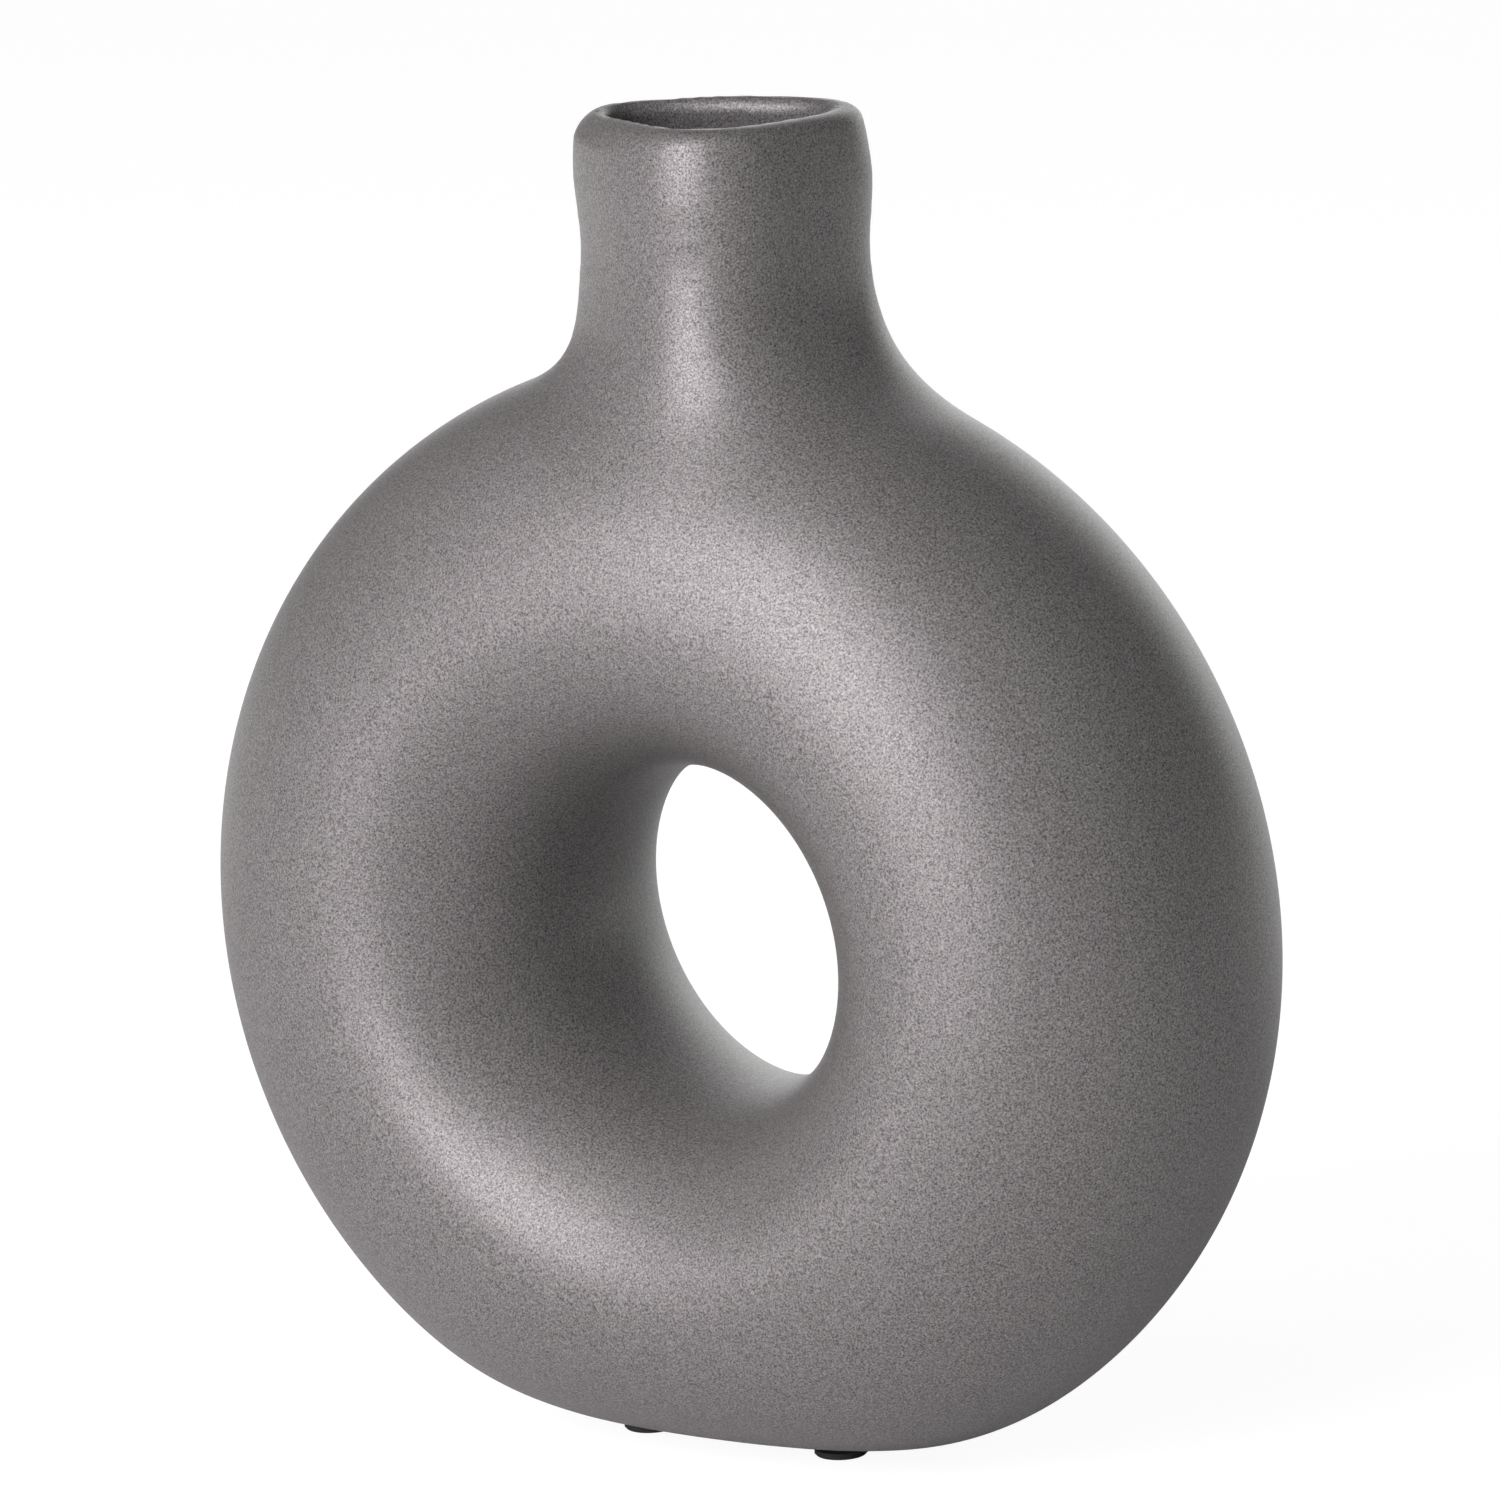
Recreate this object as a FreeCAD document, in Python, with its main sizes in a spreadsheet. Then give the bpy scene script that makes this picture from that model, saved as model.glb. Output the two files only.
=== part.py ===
import FreeCAD, Part
import math
import os
import Sketcher

# A ring-shaped vase: a hollow upright ring with a flat foot, and a short neck with a rounded
# three-cornered mouth. It stands on four small rubber pads.
# Millimetres. X is the ring's width, Y its depth with the front at -Y, and Z is up.
# The origin is on the resting plane, under the middle of the ring.

SIZES = {
    # the ring, turned about a level axis through the middle of its hole
    "ring_radius": 87.4,
    "tube_radius": 35.0,
    "hole_radius": 23.6,
    # the flat foot: how much of the ring's underside it takes away, and how far below the tube's
    # middle its soft edge begins
    "foot_trim": 10.2,
    "foot_edge_drop": 2.3,
    # the neck's outline: a point on the left and two shoulders, joined by bulged sides
    "point_reach": 8.4,
    "point_radius": 13.3,
    "shoulder_reach": 8.2,
    "shoulder_spread": 3.6,
    "shoulder_radius": 14.8,
    "long_side_radius": 54.5,
    "short_side_radius": 26.6,
    # that outline at three heights: at the mouth, drawn in at the waist, and let out at the root
    "neck_length": 34.4,
    "waist_drop": 20.5,
    "waist_inset": 0.5,
    "waist_shift": 0.8,
    "root_depth": 16.8,
    "root_flare": 4.2,
    "root_shift": 2.6,
    "root_rounding": 14.5,
    # clay thickness, and the flat left between the lip's two roundings
    "wall": 4.6,
    "neck_wall": 5.4,
    "lip_flat": 0.4,
    # the pads
    "pad_height": 1.0,
    "pad_radius": 4.0,
    "pad_bevel": 0.3,
    "pad_offset_x": 17.0,
    "pad_offset_y": 5.0,
}

FULL_TURN = 360.0
SAME_HEIGHT = 1e-4
UP = FreeCAD.Vector(0, 0, 1)

doc = FreeCAD.newDocument("ring_vase")


def make_sheet():
    """The driving sizes, one to a row, each cell named by its alias."""
    made = doc.addObject("Spreadsheet::Sheet", "sizes")
    for row, (alias, value) in enumerate(SIZES.items(), start=1):
        made.set("A%d" % row, alias)
        made.set("B%d" % row, str(value))
        made.setAlias("B%d" % row, alias)
    doc.recompute()
    return made


sheet = make_sheet()


class Length:
    """A length worked out from the sizes: its value, and the formula that the document keeps."""

    def __init__(self, value, formula):
        self.value = value
        self.formula = formula

    def __add__(self, other):
        return Length(self.value + other.value, "(%s + %s)" % (self.formula, other.formula))

    def __sub__(self, other):
        return Length(self.value - other.value, "(%s - %s)" % (self.formula, other.formula))

    def __mul__(self, other):
        return Length(self.value * other.value, "%s * %s" % (self.formula, other.formula))

    def __truediv__(self, other):
        return Length(self.value / other.value, "%s / %s" % (self.formula, other.formula))

    def __neg__(self):
        return Length(-self.value, "-%s" % self.formula)


def size(alias):
    return Length(float(sheet.get(alias)), "sizes." + alias)


NONE = Length(0.0, "0")
HALF = Length(0.5, "0.5")

# the ring is deepest at its crest, and bends there towards the hole as an ellipse does
crest_radius = size("ring_radius") - size("tube_radius")
hole_side = crest_radius - size("hole_radius")
crest_bend = hole_side * hole_side / size("tube_radius")

# heights above the table
foot_height = size("pad_height")
floor_height = foot_height + size("wall")
centre_height = foot_height + size("ring_radius") - size("foot_trim")
ring_top = centre_height + size("ring_radius")
root_height = ring_top - size("root_depth")
mouth_height = ring_top + size("neck_length")
waist_height = mouth_height - size("waist_drop")

foot_rounding = size("tube_radius") - size("foot_trim") - size("foot_edge_drop")
lip_rounding = (size("neck_wall") - size("lip_flat")) * HALF


def new_body(name):
    body = doc.addObject("PartDesign::Body", name)
    body.Label = name
    return body


def level_sketch(body, name, height, shift):
    """An empty sketch on a level plane at the height, its middle moved to the right by the shift."""
    sketch = body.newObject("Sketcher::SketchObject", name)
    planes = [item for item in body.Origin.OriginFeatures if item.Role == "XY_Plane"]
    sketch.AttachmentSupport = (planes[0], [""])
    sketch.MapMode = "FlatFace"
    sketch.setExpression("AttachmentOffset.Base.z", height.formula)
    sketch.setExpression("AttachmentOffset.Base.x", shift.formula)
    return sketch


def dimension(sketch, name, kind, places, length):
    """A named sketch dimension that the sheet drives."""
    index = sketch.addConstraint(Sketcher.Constraint(kind, *places, length.value))
    sketch.renameConstraint(index, name)
    sketch.setExpression("Constraints." + name, length.formula)


def add_arc(sketch, centre, radius, start, end):
    """A counterclockwise arc, its angles in radians."""
    if end < start:
        end += 2 * math.pi
    circle = Part.Circle(FreeCAD.Vector(centre[0], centre[1], 0), UP, radius)
    return sketch.addGeometry(Part.ArcOfCircle(circle, start, end), False)


def disc_sketch(body, name, height, radius):
    """A circle about the upright axis at the height."""
    sketch = level_sketch(body, name, height, NONE)
    circle = Part.Circle(FreeCAD.Vector(0, 0, 0), UP, radius.value)
    disc = sketch.addGeometry(circle, False)
    sketch.addConstraint(Sketcher.Constraint("Coincident", disc, 3, -1, 1))
    dimension(sketch, "radius", "Radius", (disc,), radius)
    return sketch


def join_tangent(sketch, arcs):
    """Each arc's end runs smoothly into the next arc's start, all the way round."""
    for here, there in zip(arcs, arcs[1:] + arcs[:1]):
        sketch.addConstraint(Sketcher.Constraint("Tangent", here, 2, there, 1))


def direction(start, end):
    return math.atan2(end[1] - start[1], end[0] - start[0])


def wall_arc_radius(reach, depth, bend):
    """Radius of the arc that crosses the axis and runs into the crest's bend.

    The crest is the reach beyond the crossing and the depth above the axis.
    """
    lift = depth - bend
    return (reach * reach + lift * lift - bend * bend) / (2 * (reach - bend))


def ring_section(body, name, inset):
    """The ring's cut face, drawn in by the inset: half round outside, a longer curve to the hole."""
    sketch = level_sketch(body, name, centre_height, NONE)
    tube = size("tube_radius") - inset
    bend = crest_bend - inset
    hole = size("hole_radius") + inset
    crest = crest_radius.value
    lift = tube.value - bend.value
    wall_radius = wall_arc_radius(crest - hole.value, tube.value, bend.value)
    wall = (hole.value + wall_radius, 0)
    lean = math.pi - math.atan2(abs(lift), abs(wall[0] - crest))
    outside = add_arc(sketch, (crest, 0), tube.value, -math.pi / 2, math.pi / 2)
    back = add_arc(sketch, (crest, lift), bend.value, math.pi / 2, lean)
    inside = add_arc(sketch, wall, wall_radius, lean, -lean)
    front = add_arc(sketch, (crest, -lift), bend.value, -lean, -math.pi / 2)
    crossing = sketch.addGeometry(Part.Point(FreeCAD.Vector(hole.value, 0, 0)), True)
    join_tangent(sketch, [outside, back, inside, front])
    sketch.addConstraint(Sketcher.Constraint("PointOnObject", outside, 3, -1))
    sketch.addConstraint(Sketcher.Constraint("PointOnObject", inside, 3, -1))
    sketch.addConstraint(Sketcher.Constraint("PointOnObject", crossing, 1, -1))
    sketch.addConstraint(Sketcher.Constraint("PointOnObject", crossing, 1, inside))
    sketch.addConstraint(Sketcher.Constraint("Vertical", outside, 3, back, 3))
    sketch.addConstraint(Sketcher.Constraint("Vertical", outside, 3, front, 3))
    dimension(sketch, "crest_place", "DistanceX", (-1, 1, outside, 3), crest_radius)
    dimension(sketch, "hole_place", "DistanceX", (-1, 1, crossing, 1), hole)
    dimension(sketch, "tube_radius", "Radius", (outside,), tube)
    dimension(sketch, "crest_bend", "Radius", (back,), bend)
    return sketch


def turn_ring(body, name, inset):
    """The section turned fully about the level axis that runs from front to back."""
    section = ring_section(body, name + "_section", inset)
    ring = body.newObject("PartDesign::Revolution", name)
    ring.Profile = section
    ring.ReferenceAxis = (section, ["V_Axis"])
    ring.Angle = FULL_TURN
    doc.recompute()
    return ring


def side_centre(start, start_radius, end, end_radius, radius):
    """Centre of the bulged side that holds both corner circles inside it, going counterclockwise."""
    span = math.hypot(end[0] - start[0], end[1] - start[1])
    along = ((end[0] - start[0]) / span, (end[1] - start[1]) / span)
    from_start = radius - start_radius
    from_end = radius - end_radius
    step = (from_start * from_start - from_end * from_end + span * span) / (2 * span)
    drop = math.sqrt(from_start * from_start - step * step)
    return (start[0] + along[0] * step - along[1] * drop,
            start[1] + along[1] * step + along[0] * drop)


def neck_outline(body, name, height, inset, shift):
    """The rounded triangle at the height, all six arcs drawn in by the inset."""
    sketch = level_sketch(body, name, height, shift)
    reach = size("shoulder_reach").value
    spread = size("shoulder_spread").value
    point_radius = size("point_radius") - inset
    shoulder_radius = size("shoulder_radius") - inset
    long_side = size("long_side_radius") - inset
    short_side = size("short_side_radius") - inset
    corners = [(-size("point_reach").value, 0), (reach, -spread), (reach, spread)]
    corner_radii = [point_radius.value, shoulder_radius.value, shoulder_radius.value]
    side_radii = [long_side.value, short_side.value, long_side.value]
    ends = corners[1:] + corners[:1]
    end_radii = corner_radii[1:] + corner_radii[:1]
    centres = [side_centre(*side) for side in zip(corners, corner_radii, ends, end_radii, side_radii)]
    arcs = []
    for place, corner in enumerate(corners):
        centre = centres[place]
        arcs.append(add_arc(sketch, corner, corner_radii[place],
                            direction(centres[place - 1], corner), direction(centre, corner)))
        arcs.append(add_arc(sketch, centre, side_radii[place],
                            direction(centre, corner), direction(centre, ends[place])))
    join_tangent(sketch, arcs)
    point, front_side, front, right_side, back, back_side = arcs
    sketch.addConstraint(Sketcher.Constraint("PointOnObject", point, 3, -1))
    sketch.addConstraint(Sketcher.Constraint("Symmetric", front, 3, back, 3, -1))
    sketch.addConstraint(Sketcher.Constraint("Equal", front, back))
    sketch.addConstraint(Sketcher.Constraint("Equal", front_side, back_side))
    dimension(sketch, "point_reach", "DistanceX", (point, 3, -1, 1), size("point_reach"))
    dimension(sketch, "shoulder_reach", "DistanceX", (-1, 1, back, 3), size("shoulder_reach"))
    dimension(sketch, "shoulder_spread", "DistanceY", (-1, 1, back, 3), size("shoulder_spread"))
    dimension(sketch, "point_radius", "Radius", (point,), point_radius)
    dimension(sketch, "shoulder_radius", "Radius", (front,), shoulder_radius)
    dimension(sketch, "long_side_radius", "Radius", (front_side,), long_side)
    dimension(sketch, "short_side_radius", "Radius", (right_side,), short_side)
    return sketch


def raise_neck(body, name, inset):
    """A smooth loft up through the outline at the root, the waist and the mouth."""
    root = neck_outline(body, name + "_root", root_height, inset - size("root_flare"),
                        size("root_shift"))
    waist = neck_outline(body, name + "_waist", waist_height, inset + size("waist_inset"),
                         size("waist_shift"))
    mouth = neck_outline(body, name + "_mouth", mouth_height, inset, NONE)
    neck = body.newObject("PartDesign::AdditiveLoft", name)
    neck.Profile = root
    neck.Sections = [waist, mouth]
    neck.Ruled = False
    neck.Closed = False
    doc.recompute()
    return neck


def trim_below(body, name, height):
    """Everything under the height is cut away, which leaves the ring a flat."""
    outline = disc_sketch(body, name + "_outline", height, size("ring_radius"))
    before = body.Shape.Volume
    flat = body.newObject("PartDesign::Pocket", name)
    flat.Profile = outline
    flat.Type = "ThroughAll"
    doc.recompute()
    if flat.Shape.Volume >= before:
        raise ValueError(name + " takes nothing away")
    return flat


def edges_at(shape, height):
    """Names of the edges that lie level at the height."""
    level = height.value
    return ["Edge%d" % number for number, edge in enumerate(shape.Edges, start=1)
            if max(abs(edge.BoundBox.ZMin - level), abs(edge.BoundBox.ZMax - level)) < SAME_HEIGHT]


def edges_where_neck_meets_ring(shape):
    """Names of the edges above the hole that have a turned face on one side only."""
    names = []
    for number, edge in enumerate(shape.Edges, start=1):
        faces = shape.ancestorsOfType(edge, Part.Face)
        turned = [isinstance(face.Surface, Part.Toroid) for face in faces]
        if edge.BoundBox.ZMin > centre_height.value and any(turned) and not all(turned):
            names.append("Edge%d" % number)
    return names


def round_edges(body, name, base, edges, radius):
    fillet = body.newObject("PartDesign::Fillet", name)
    fillet.Base = (base, edges)
    fillet.setExpression("Radius", radius.formula)
    doc.recompute()
    return fillet


def make_outer_form():
    """The vase's outside as a solid: ring, neck, the hollow curve between them, and the foot."""
    body = new_body("outer_form")
    turn_ring(body, "outer_ring", NONE)
    neck = raise_neck(body, "outer_neck", NONE)
    round_edges(body, "neck_root", neck, edges_where_neck_meets_ring(neck.Shape),
                size("root_rounding"))
    foot = trim_below(body, "foot", foot_height)
    round_edges(body, "foot_edge", foot, edges_at(foot.Shape, foot_height), foot_rounding)
    return body


def make_hollow():
    """The space inside as a solid: ring, bore and floor, each a wall's thickness in."""
    body = new_body("hollow")
    turn_ring(body, "inner_ring", size("wall"))
    raise_neck(body, "bore", size("neck_wall"))
    floor = trim_below(body, "floor", floor_height)
    round_edges(body, "floor_edge", floor, edges_at(floor.Shape, floor_height),
                foot_rounding - size("wall"))
    return body


def make_vase_body():
    """The clay: the outside less the hollow, with the lip rounded inside and out."""
    body = make_outer_form()
    emptied = body.newObject("PartDesign::Boolean", "emptied")
    emptied.setObjects([make_hollow()])
    emptied.Type = "Cut"
    doc.recompute()
    round_edges(body, "lip", emptied, edges_at(emptied.Shape, mouth_height), lip_rounding)
    body.Label = "vase_body"
    return body


def make_pad(name, across, along):
    """One self-adhesive pad under the foot, bevelled where it meets the table."""
    body = new_body(name)
    slab = body.newObject("PartDesign::Pad", name + "_slab")
    slab.Profile = disc_sketch(body, name + "_outline", NONE, size("pad_radius"))
    slab.setExpression("Length", size("pad_height").formula)
    doc.recompute()
    bevel = body.newObject("PartDesign::Chamfer", name + "_bevel")
    bevel.Base = (slab, edges_at(slab.Shape, NONE))
    bevel.setExpression("Size", size("pad_bevel").formula)
    body.setExpression("Placement.Base.x", across.formula)
    body.setExpression("Placement.Base.y", along.formula)
    return body


def check(pieces):
    """Stops before anything is written when a feature failed or a piece isn't one sound solid."""
    failed = [item.Name for item in doc.Objects if {"Invalid", "Error"} & set(item.State)]
    if failed:
        raise ValueError("failed: " + ", ".join(failed))
    for piece in pieces:
        if piece.Shape.isNull() or not piece.Shape.isValid() or len(piece.Shape.Solids) != 1:
            raise ValueError(piece.Label + " is not one valid solid")


pieces = [make_vase_body()]
for side, across in (("left", -size("pad_offset_x")), ("right", size("pad_offset_x"))):
    for end, along in (("front", -size("pad_offset_y")), ("back", size("pad_offset_y"))):
        pieces.append(make_pad("foot_pad_%s_%s" % (end, side), across, along))
doc.recompute()
check(pieces)
os.makedirs("parts", exist_ok=True)
for piece in pieces:
    piece.Shape.exportStep("parts/%s.step" % piece.Label)
    print(piece.Label, round(piece.Shape.Volume), "mm3")
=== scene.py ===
import math

import bpy
import numpy as np
from mathutils import Matrix, Vector


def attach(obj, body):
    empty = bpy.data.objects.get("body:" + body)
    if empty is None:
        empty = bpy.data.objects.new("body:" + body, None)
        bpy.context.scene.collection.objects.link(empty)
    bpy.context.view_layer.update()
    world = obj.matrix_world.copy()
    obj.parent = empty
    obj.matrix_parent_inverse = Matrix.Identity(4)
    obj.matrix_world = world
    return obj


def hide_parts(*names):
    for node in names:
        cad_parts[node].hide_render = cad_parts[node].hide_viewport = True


# A ring-shaped ceramic vase on a pale studio floor.
# The vase's own sizes are in millimetres, and its mesh becomes metres when it is made.

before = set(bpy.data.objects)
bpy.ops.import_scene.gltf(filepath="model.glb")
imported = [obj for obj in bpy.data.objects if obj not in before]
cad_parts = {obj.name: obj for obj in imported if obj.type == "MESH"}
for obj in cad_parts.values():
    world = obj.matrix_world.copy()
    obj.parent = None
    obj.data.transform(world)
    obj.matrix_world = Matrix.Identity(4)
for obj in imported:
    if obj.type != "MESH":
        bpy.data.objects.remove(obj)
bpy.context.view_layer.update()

MM = 0.001


# ---- the vase's form ----

# the ring as cast: the height of its middle, and its radius, a little more across than up
ring_centre = 79.41
ring_radius = 86.21
ring_widening = 0.013
# how far the flattened foot is below the ring's middle, and how softly the ring runs into it
foot_drop = 80.61
foot_softness = 4.05
# the circle on which the front and the back stand out furthest, how far they do, and over what
# distance the slope to the hole becomes the slope to the rim
crest_radius = 51.25
half_depth = 34.98
crest_softness = 14.0
# the hole, and how far its middle is to the right and upwards
hole_radius = 24.55
hole_shift = (0.73, -0.75)
# the underside of the clay on its pads, and the rounding of its edge
foot_height = 1.0
foot_edge = 3.0

# the neck's outline, a rounded triangle: a mean radius and waves, each with its count round the neck
# and its two heights, to the right and to the back
mouth_height = 200.0
outline_mean = 20.16
outline_waves = ((1, -1.06, 0.24), (2, 1.45, 0.06), (3, -1.46, 0.75), (4, 0.23, 0.16),
                 (5, -0.2, 0.07), (6, 0.14, -0.02), (7, -0.05, 0.05))
# how much the neck swells and leans to the right at each height, and how far back it stands
neck_heights = (148.0, 160.0, 170.0, 180.0, 190.0, 200.0)
neck_swell = (0.39, 0.33, 1.09, -1.2, 1.3, -1.11)
neck_lean = (4.27, 3.55, 2.01, 2.51, 2.57, 2.04)
neck_smoothing = (-6, -3, 0, 3, 6)
neck_back = 0.32
# where the neck begins within the ring, how widely it flares into the ring on its left and on its
# right, over what width the one becomes the other, and the same flare inside
neck_foot = 135.0
neck_root_left = 10.56
neck_root_right = 12.94
neck_root_span = 50.0
hollow_root = 12.0

# the clay's thickness in the ring and in the neck
wall = 4.7
neck_wall = 5.2
# the lip's rounding outside, what it gains towards the left and over what width, and inside
lip_outside = 2.1
lip_left_gain = 2.71
lip_span = 30.0
lip_inside = 2.2

# the mesh: how far apart its points are, how often they are moved onto the form, the box that it is
# drawn in, and the short step over which a slope is measured; the box starts at a height that keeps
# every layer of points from grazing the lip, where the mesh would pinch
spacing = 1.2
settling_rounds = 4
lowest_corner = (-90, -38, -2.4)
highest_corner = (90, 38, 203)
slope_step = 0.02
# what keeps a division from meeting zero
tiny = 1e-9
least_drop = 0.001


def soft_union(a, b, reach):
    """The two forms joined, with a hollow curve of about the reach where they meet."""
    near = np.clip(1 - np.abs(a - b) / reach, 0, None)
    return np.minimum(a, b) - near ** 2 * reach / 4


def round_off(a, b, radius):
    """What both forms hold, with its edge rounded to the radius."""
    corner = np.hypot(np.clip(a + radius, 0, None), np.clip(b + radius, 0, None))
    return np.minimum(np.maximum(a, b), -radius) + corner


def ring_form(x, y, z, inset):
    """How far a point is outside the ring, which is drawn in by the inset."""
    rise = z - ring_centre
    reach = np.hypot(x, rise) + tiny
    across, up = x / reach, rise / reach
    rim = ring_radius * (1 + ring_widening * (across ** 2 - up ** 2))
    floor = foot_drop / np.maximum(-up, least_drop)
    least = np.minimum(rim, floor)
    rim = least - foot_softness * np.log(np.exp((least - rim) / foot_softness)
                                         + np.exp((least - floor) / foot_softness))
    hole = hole_radius + hole_shift[0] * across + hole_shift[1] * up
    outward = reach - crest_radius
    side = np.clip(0.5 + outward / crest_softness / 2, 0, 1)
    side = side * side * (3 - 2 * side)
    width = (crest_radius - hole) * (1 - side) + (rim - crest_radius) * side - inset
    depth = half_depth - inset
    size = np.hypot(outward / width, y / depth) + tiny
    slope = np.hypot(outward / width ** 2, y / depth ** 2) + tiny
    return (size - 1) * size / slope


def along_neck(values, z):
    """The value at each height, read from the neck's table and smoothed over a few millimetres."""
    return sum(np.interp(z + shift, neck_heights, values) for shift in neck_smoothing) / len(neck_smoothing)


def neck_form(x, y, z, inset):
    """How far a point is outside the neck, which begins within the top of the ring."""
    x = x - along_neck(neck_lean, z)
    y = y - neck_back
    turn = np.arctan2(y, x)
    outline = outline_mean + along_neck(neck_swell, z) - inset
    bend = 0
    for count, even, odd in outline_waves:
        outline = outline + even * np.cos(count * turn) + odd * np.sin(count * turn)
        bend = bend + count * (odd * np.cos(count * turn) - even * np.sin(count * turn))
    bend = bend / np.maximum(outline, 1)
    return np.maximum((np.hypot(x, y) - outline) / np.sqrt(1 + bend ** 2), neck_foot - z)


def clay(x, y, z):
    """How far a point is outside the fired clay, as a negative depth within it."""
    rightness = np.clip(0.5 + x / neck_root_span, 0, 1)
    root = neck_root_left + (neck_root_right - neck_root_left) * rightness
    outside = soft_union(ring_form(x, y, z, 0), neck_form(x, y, z, 0), root)
    outside = round_off(outside, foot_height - z, foot_edge)
    lip = lip_outside + lip_left_gain * (1 - np.clip(0.5 + x / lip_span, 0, 1))
    outside = round_off(outside, z - mouth_height, lip)
    hollow = soft_union(ring_form(x, y, z, wall), neck_form(x, y, z, neck_wall), hollow_root)
    hollow = round_off(hollow, foot_height + wall - z, foot_edge)
    return round_off(outside, -hollow, lip_inside)


def slope_of(points):
    """The direction in which each point leaves the clay fastest."""
    moves = np.eye(3) * slope_step
    rises = [clay(*(points + move).T) - clay(*(points - move).T) for move in moves]
    return np.stack(rises, 1) / (2 * slope_step)


def skin(lowest, highest):
    """Points and four-sided faces over the clay's surface, one point in each small cube that it crosses."""
    axes = [np.arange(a, b + spacing, spacing) for a, b in zip(lowest, highest)]
    grid = np.stack(np.meshgrid(*axes, indexing="ij"), -1)
    depth = clay(grid[..., 0], grid[..., 1], grid[..., 2])
    shape = np.array(depth.shape) - 1
    total = np.zeros((*shape, 3))
    count = np.zeros(shape)
    crossings = []
    # where the surface crosses the cubes' edges, added up for the cubes round each edge
    for axis in range(3):
        near = np.moveaxis(depth, axis, 0)[:-1]
        far = np.moveaxis(depth, axis, 0)[1:]
        place = np.moveaxis(grid, axis, 0)[:-1]
        crossed = (near < 0) != (far < 0)
        part = np.where(crossed, near / np.where(crossed, near - far, 1), 0)
        point = place + part[..., None] * np.eye(3)[axis] * spacing
        point = np.moveaxis(np.where(crossed[..., None], point, 0), 0, axis)
        leaving = np.moveaxis(near < 0, 0, axis)
        crossed = np.moveaxis(crossed, 0, axis)
        one, two = [other for other in range(3) if other != axis]
        for a in (0, 1):
            for b in (0, 1):
                window = [slice(None)] * 3
                window[one] = slice(a, a + shape[one])
                window[two] = slice(b, b + shape[two])
                total += point[tuple(window)]
                count += crossed[tuple(window)]
        crossings.append((axis, one, two, crossed, leaving))
    held = count > 0
    number = np.full(shape, -1)
    number[held] = np.arange(held.sum())
    points = total[held] / count[held][:, None]
    # one face across each crossed edge, between the points of the four cubes round it
    faces = []
    for axis, one, two, crossed, leaving in crossings:
        at = np.argwhere(crossed)
        inner = (at[:, one] > 0) & (at[:, two] > 0) & (at[:, one] < shape[one]) & (at[:, two] < shape[two])
        at = at[inner]
        corners = []
        for a, b in ((1, 1), (0, 1), (0, 0), (1, 0)):
            cell = at.copy()
            cell[:, one] -= a
            cell[:, two] -= b
            corners.append(number[tuple(cell.T)])
        quads = np.stack(corners, 1)
        flip = leaving[tuple(at.T)] == (axis == 1)
        quads[flip] = quads[flip][:, ::-1]
        faces.append(quads)
    for _ in range(settling_rounds):
        slope = slope_of(points)
        points = points - slope * (clay(*points.T) / (slope ** 2).sum(1))[:, None]
    return points, np.concatenate(faces)


def make_vase():
    """The clay body as one closed mesh, outside, lip and hollow, shaded by its true slopes."""
    points, faces = skin(lowest_corner, highest_corner)
    mesh = bpy.data.meshes.new("glazed_vase")
    mesh.from_pydata((points * MM).tolist(), [], faces.tolist())
    mesh.validate()
    mesh.polygons.foreach_set("use_smooth", [True] * len(mesh.polygons))
    slope = slope_of(points)
    slope /= np.linalg.norm(slope, axis=1)[:, None]
    mesh.normals_split_custom_set_from_vertices(slope.tolist())
    body = bpy.data.objects.new("glazed_vase", mesh)
    bpy.context.scene.collection.objects.link(body)
    return body


# ---- materials ----

def linear(code):
    """A hex colour as it is seen on a screen, in the renderer's linear values."""
    parts = [int(code[place:place + 2], 16) / 255 for place in (1, 3, 5)]
    return (*[part / 12.92 if part <= 0.04045 else ((part + 0.055) / 1.055) ** 2.4 for part in parts], 1)


def add(tree, kind, inputs=None, **settings):
    """A node with its settings, its inputs either values or links."""
    made = tree.nodes.new(kind)
    for name, value in settings.items():
        setattr(made, name, value)
    for socket, value in (inputs or {}).items():
        if isinstance(value, bpy.types.NodeSocket):
            tree.links.new(value, made.inputs[socket])
        else:
            made.inputs[socket].default_value = value
    return made


def new_material(name):
    """A material with nothing in it yet, and its tree of nodes."""
    made = bpy.data.materials.new(name)
    made.use_nodes = True
    made.node_tree.nodes.clear()
    return made, made.node_tree


def grain_scale(size_mm):
    """The texture scale at which one grain is the size."""
    return 1 / (size_mm * MM)


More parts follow.
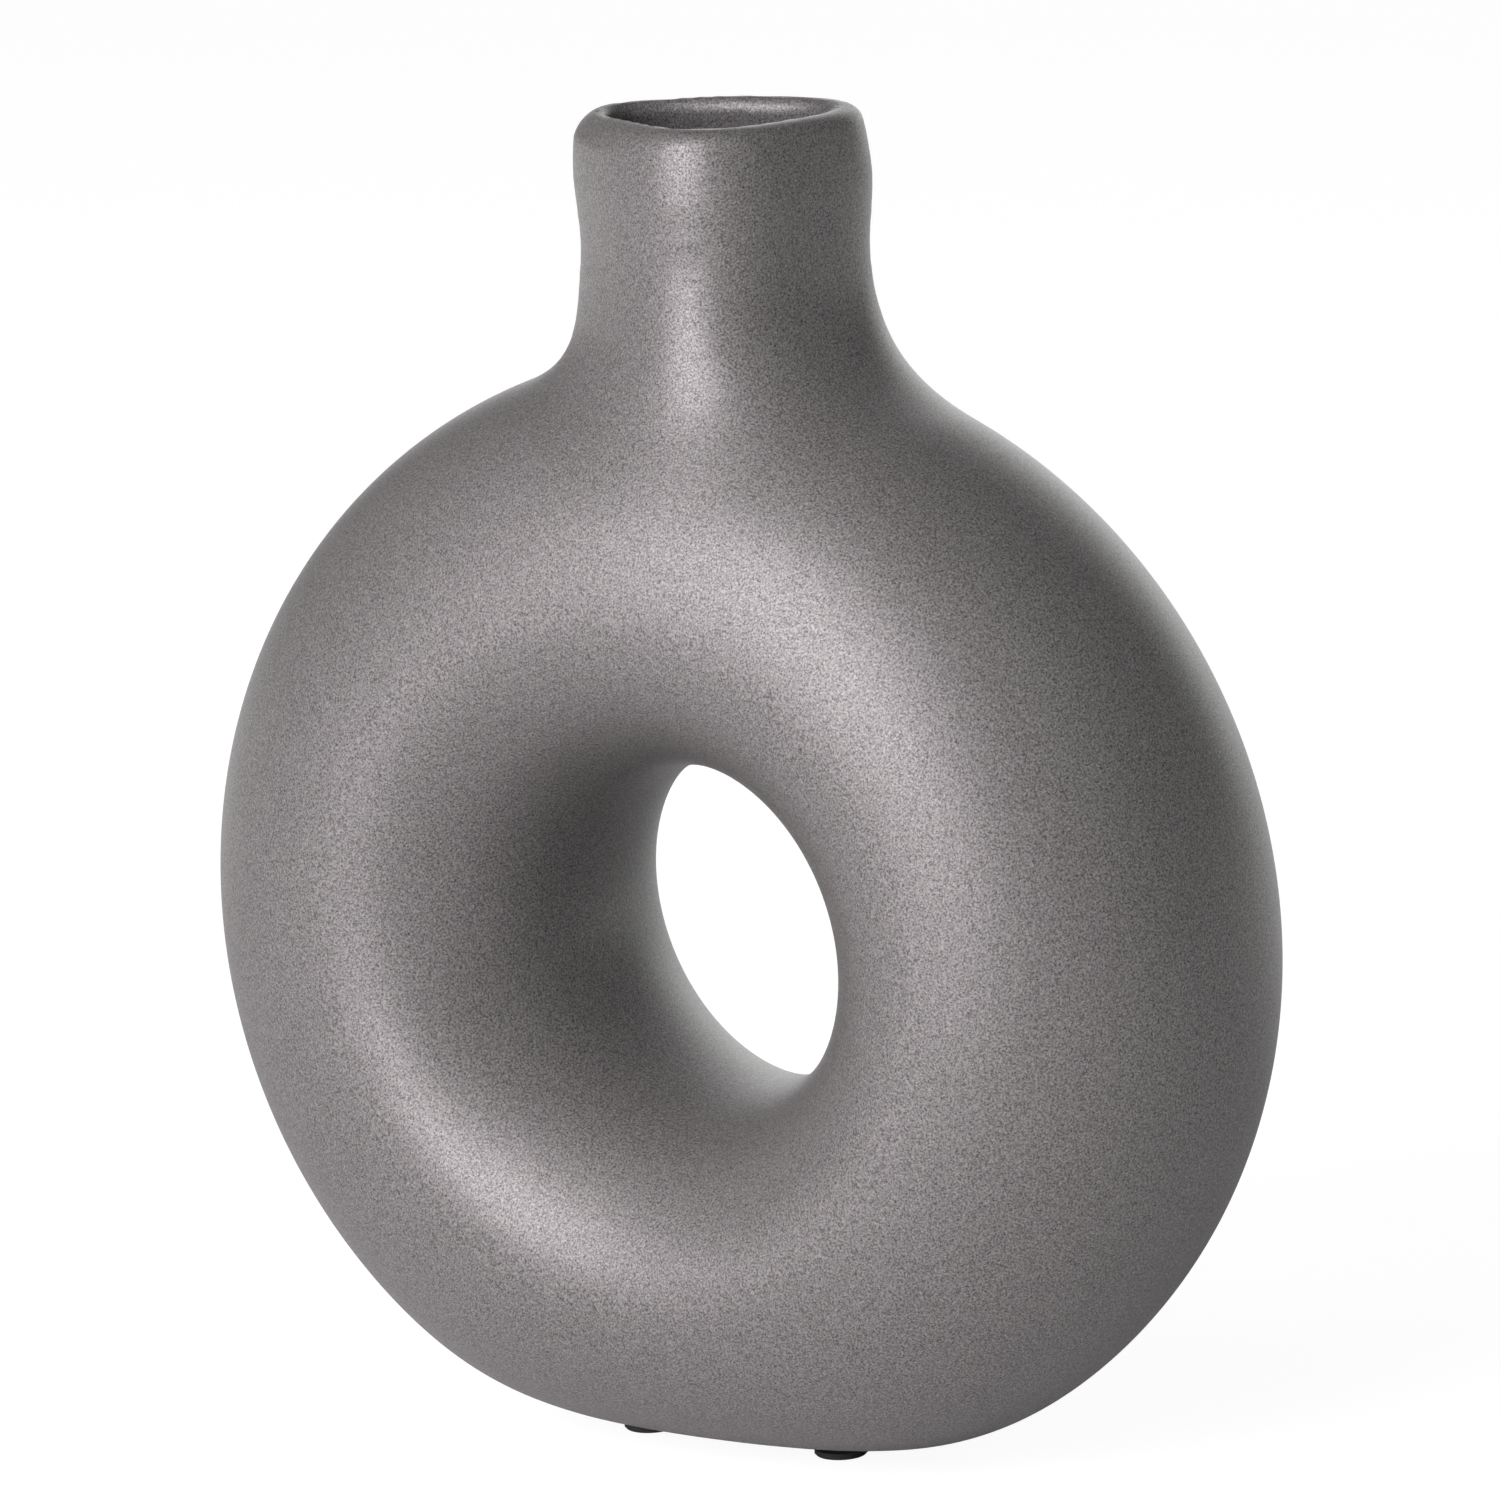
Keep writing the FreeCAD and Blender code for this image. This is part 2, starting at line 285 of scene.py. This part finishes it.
def satin_glaze():
    """Stoneware under a satin metallic oxide glaze: a broad soft sheen, broken by very fine bright and
    dark grains, and warm grey all over. The foot is wiped bare before firing and shows pale clay."""
    made, tree = new_material("satin_metallic_glaze_on_stoneware")
    place = add(tree, "ShaderNodeTexCoord").outputs["Object"]
    # the grain is about 0.15 mm and is drawn at 0.3 mm, because a finer one would not show
    grain = add(tree, "ShaderNodeTexNoise", {"Vector": place, "Scale": grain_scale(0.3), "Detail": 2.0,
                                             "Roughness": 0.75})
    # the kiln leaves the glaze a trace darker and lighter in patches of about 28 mm
    drift = add(tree, "ShaderNodeTexNoise", {"Vector": place, "Scale": grain_scale(28), "Detail": 3.0})
    tone = add(tree, "ShaderNodeMixRGB", {"Fac": drift.outputs["Fac"], "Color1": linear("#6e6d6b"),
                                          "Color2": linear("#747271")})
    speck = add(tree, "ShaderNodeMapRange", {"Value": grain.outputs["Fac"], "From Min": 0.3,
                                             "From Max": 0.7, "To Min": 0.2, "To Max": 1.8})
    glazed = add(tree, "ShaderNodeVectorMath", {0: tone.outputs["Color"], 1: speck.outputs["Result"]},
                 operation="MULTIPLY")
    # the wiped edge is just above the underside and wavers by 0.3 mm every 6 mm or so
    height = add(tree, "ShaderNodeSeparateXYZ", {"Vector": place}).outputs["Z"]
    wavy = add(tree, "ShaderNodeTexNoise", {"Vector": place, "Scale": grain_scale(6), "Detail": 2.0})
    line = add(tree, "ShaderNodeMath", {0: wavy.outputs["Fac"], 1: 0.3 * MM, 2: height},
               operation="MULTIPLY_ADD")
    bare = add(tree, "ShaderNodeMapRange", {"Value": line.outputs["Value"], "From Min": 1.2 * MM,
                                            "From Max": 1.35 * MM, "To Min": 1.0, "To Max": 0.0})
    colour = add(tree, "ShaderNodeMixRGB", {"Fac": bare.outputs["Result"],
                                            "Color1": glazed.outputs["Vector"],
                                            "Color2": linear("#b9b0a3")})
    rough = add(tree, "ShaderNodeMapRange", {"Value": bare.outputs["Result"], "To Min": 0.46,
                                             "To Max": 0.9})
    bump = add(tree, "ShaderNodeBump", {"Height": grain.outputs["Fac"], "Strength": 0.5,
                                        "Distance": 0.02 * MM})
    # the glaze is a glass, so its IOR is 1.5, and its metal oxides give it part of a metal's sheen
    shader = add(tree, "ShaderNodeBsdfPrincipled", {"Base Color": colour.outputs["Color"],
                                                    "Metallic": 0.35, "IOR": 1.5,
                                                    "Roughness": rough.outputs["Result"],
                                                    "Normal": bump.outputs["Normal"]})
    add(tree, "ShaderNodeOutputMaterial", {"Surface": shader.outputs["BSDF"]})
    return made


def pad_rubber():
    """Moulded polyurethane rubber: dark and matte, with a faint tooth."""
    made, tree = new_material("moulded_rubber")
    place = add(tree, "ShaderNodeTexCoord").outputs["Object"]
    # the mould's tooth is about 0.1 mm and is drawn at 0.3 mm, so that it shows
    tooth = add(tree, "ShaderNodeTexNoise", {"Vector": place, "Scale": grain_scale(0.3), "Detail": 2.0})
    colour = add(tree, "ShaderNodeMixRGB", {"Fac": tooth.outputs["Fac"], "Color1": linear("#1f1f1f"),
                                            "Color2": linear("#2a2a2a")})
    bump = add(tree, "ShaderNodeBump", {"Height": tooth.outputs["Fac"], "Strength": 0.4,
                                        "Distance": 0.02 * MM})
    shader = add(tree, "ShaderNodeBsdfPrincipled", {"Base Color": colour.outputs["Color"],
                                                    "Roughness": 0.75, "IOR": 1.5,
                                                    "Normal": bump.outputs["Normal"]})
    add(tree, "ShaderNodeOutputMaterial", {"Surface": shader.outputs["BSDF"]})
    return made


# ---- the vase and its pads ----

vase = make_vase()
vase.data.materials.append(satin_glaze())
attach(vase, "root")
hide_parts("vase_body")

rubber = pad_rubber()
for name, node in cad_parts.items():
    if name.startswith("foot_pad"):
        node.data.materials.clear()
        node.data.materials.append(rubber)


# ---- the studio ----

# which way the bright paper backdrop is from the vase, and how near to that way, as a cosine, its edge
# and its full brightness are
BACKDROP_WAY = (-0.28, 0.96, 0.0)
BACKDROP_EDGE = 0.78
BACKDROP_FULL = 0.95
# how bright the dim room and the backdrop are to the glaze
ROOM_LEVEL = 0.13
BACKDROP_LEVEL = 2.6

# the floor: half its width, where its glowing stretch behind the vase begins and where it is
# full, in metres, how much of the floor's look is glow, and its level to the glaze and to the camera;
# that stretch is painted light, a glow in place of the backdrop's light falling on the floor
FLOOR_HALF = 6.0
FLOOR_PAINTED_GLOW_BEGINS = 0.08
FLOOR_PAINTED_GLOW_FULL = 0.5
FLOOR_GLOW_SHARE = 0.8
FLOOR_PAINTED_GLOW_LEVEL = 1.45
FLOOR_SEEN_LEVEL = 1.16

# each softbox: its name and colour, its azimuth and elevation in degrees, its distance, width and
# height in metres, and its power in watts
LAMPS = [
    ("key_softbox", "#fff9fe", -11, 20, 1.5, 1.05, 1.5, 36.0),
    ("top_softbox", "#ffffff", -25, 64, 1.5, 1.0, 0.7, 2.0),
    ("left_fill", "#ffffff", -65, 35, 1.5, 0.7, 0.7, 0.5),
    ("right_fill", "#f4fff6", 60, 38, 1.5, 0.7, 0.7, 0.8),
    ("right_rim", "#ffffff", 125, 20, 1.5, 0.7, 1.2, 0.6),
]
LAMP_AIM = (0, 0, 0.1)

# the camera: its place round the vase in degrees, its distance and aim in metres, and its lens in mm
CAMERA_AZIMUTH = 33.69
CAMERA_ELEVATION = 12.27
CAMERA_ROLL = -2.45
CAMERA_DISTANCE = 1.5214
CAMERA_AIM = (0.00273, 0, 0.10478)
CAMERA_SENSOR = 36
CAMERA_LENS = 247.48


def studio_white():
    """White painted board: the camera sees it nearly as pure white, with the vase's soft shadow on it.
    Behind the vase it glows, painted light in place of the backdrop's light on it, and the glaze mirrors
    that bright stretch."""
    made, tree = new_material("white_painted_board")
    seen = add(tree, "ShaderNodeLightPath").outputs["Is Camera Ray"]
    place = add(tree, "ShaderNodeTexCoord").outputs["Object"]
    behind = add(tree, "ShaderNodeVectorMath", {0: place, 1: BACKDROP_WAY}, operation="DOT_PRODUCT")
    # painted light: behind the vase the floor glows for the glaze, in place of the backdrop's light on it
    painted_floor_glow = add(tree, "ShaderNodeMapRange", {"Value": behind.outputs["Value"],
                                              "From Min": FLOOR_PAINTED_GLOW_BEGINS, "From Max": FLOOR_PAINTED_GLOW_FULL,
                                              "To Max": FLOOR_GLOW_SHARE},
                 interpolation_type="SMOOTHSTEP")
    share = add(tree, "ShaderNodeMix", {0: seen, 2: painted_floor_glow.outputs["Result"], 3: FLOOR_GLOW_SHARE})
    strength = add(tree, "ShaderNodeMix", {0: seen, 2: FLOOR_PAINTED_GLOW_LEVEL, 3: FLOOR_SEEN_LEVEL})
    paint = add(tree, "ShaderNodeBsdfDiffuse", {"Color": linear("#f2f2f2")})
    glow = add(tree, "ShaderNodeEmission", {"Color": linear("#ffffff"), "Strength": strength.outputs[0]})
    mixed = add(tree, "ShaderNodeMixShader", {0: share.outputs[0], 1: paint.outputs["BSDF"],
                                              2: glow.outputs["Emission"]})
    add(tree, "ShaderNodeOutputMaterial", {"Surface": mixed.outputs["Shader"]})
    return made


def make_floor():
    """The board that the vase stands on."""
    mesh = bpy.data.meshes.new("studio_floor")
    corners = [(x * FLOOR_HALF, y * FLOOR_HALF, 0) for x, y in ((-1, -1), (1, -1), (1, 1), (-1, 1))]
    mesh.from_pydata(corners, [], [(0, 1, 2, 3)])
    floor = bpy.data.objects.new("studio_floor", mesh)
    floor.data.materials.append(studio_white())
    bpy.context.scene.collection.objects.link(floor)


def direction(azimuth, elevation):
    """The unit direction out from the vase; azimuth 0 is in front of it and 90 to its right."""
    a, e = math.radians(azimuth), math.radians(elevation)
    return Vector((math.sin(a) * math.cos(e), -math.cos(a) * math.cos(e), math.sin(e)))


def hang_softbox(name, colour, azimuth, elevation, distance, width, height, power):
    """A soft rectangular lamp that faces the vase."""
    lamp = bpy.data.lights.new(name, "AREA")
    lamp.shape = "RECTANGLE"
    lamp.size = width
    lamp.size_y = height
    lamp.energy = power
    lamp.color = linear(colour)[:3]
    box = bpy.data.objects.new(name, lamp)
    out = direction(azimuth, elevation)
    box.location = Vector(LAMP_AIM) + out * distance
    box.rotation_euler = out.to_track_quat("Z", "Y").to_euler()
    box.visible_camera = False
    bpy.context.scene.collection.objects.link(box)


def light_studio():
    """Softboxes round the vase, the room and the backdrop, which the camera sees as pure white."""
    for lamp in LAMPS:
        hang_softbox(*lamp)
    world = bpy.data.worlds.new("white_studio")
    bpy.context.scene.world = world
    world.use_nodes = True
    tree = world.node_tree
    tree.nodes.clear()
    seen = add(tree, "ShaderNodeLightPath").outputs["Is Camera Ray"]
    way = add(tree, "ShaderNodeTexCoord").outputs["Generated"]
    ahead = add(tree, "ShaderNodeVectorMath", {0: way, 1: BACKDROP_WAY}, operation="DOT_PRODUCT")
    paper = add(tree, "ShaderNodeMapRange", {"Value": ahead.outputs["Value"],
                                             "From Min": BACKDROP_EDGE, "From Max": BACKDROP_FULL,
                                             "To Min": ROOM_LEVEL, "To Max": BACKDROP_LEVEL},
                interpolation_type="SMOOTHSTEP")
    strength = add(tree, "ShaderNodeMix", {0: seen, 2: paper.outputs["Result"], 3: 1.0})
    sky = add(tree, "ShaderNodeBackground", {"Color": linear("#ffffff"),
                                             "Strength": strength.outputs[0]})
    add(tree, "ShaderNodeOutputWorld", {"Surface": sky.outputs["Background"]})


def place_camera():
    """The photograph's viewpoint: to the right of the front, a little above, with a long lens."""
    roll = math.radians(CAMERA_ROLL)
    back = direction(CAMERA_AZIMUTH, CAMERA_ELEVATION)
    level = direction(CAMERA_AZIMUTH + 90, 0)
    up = back.cross(level)
    right = level * math.cos(roll) + up * math.sin(roll)
    up = back.cross(right)
    lens = bpy.data.cameras.new("camera")
    lens.sensor_width = CAMERA_SENSOR
    lens.lens = CAMERA_LENS
    lens.clip_start = 0.1
    lens.clip_end = 50
    camera = bpy.data.objects.new("camera", lens)
    turned = Matrix((right, up, back)).transposed().to_4x4()
    camera.matrix_world = Matrix.Translation(Vector(CAMERA_AIM) + back * CAMERA_DISTANCE) @ turned
    bpy.context.scene.collection.objects.link(camera)
    bpy.context.scene.camera = camera


make_floor()
light_studio()
place_camera()
bpy.context.scene.view_settings.view_transform = "Standard"
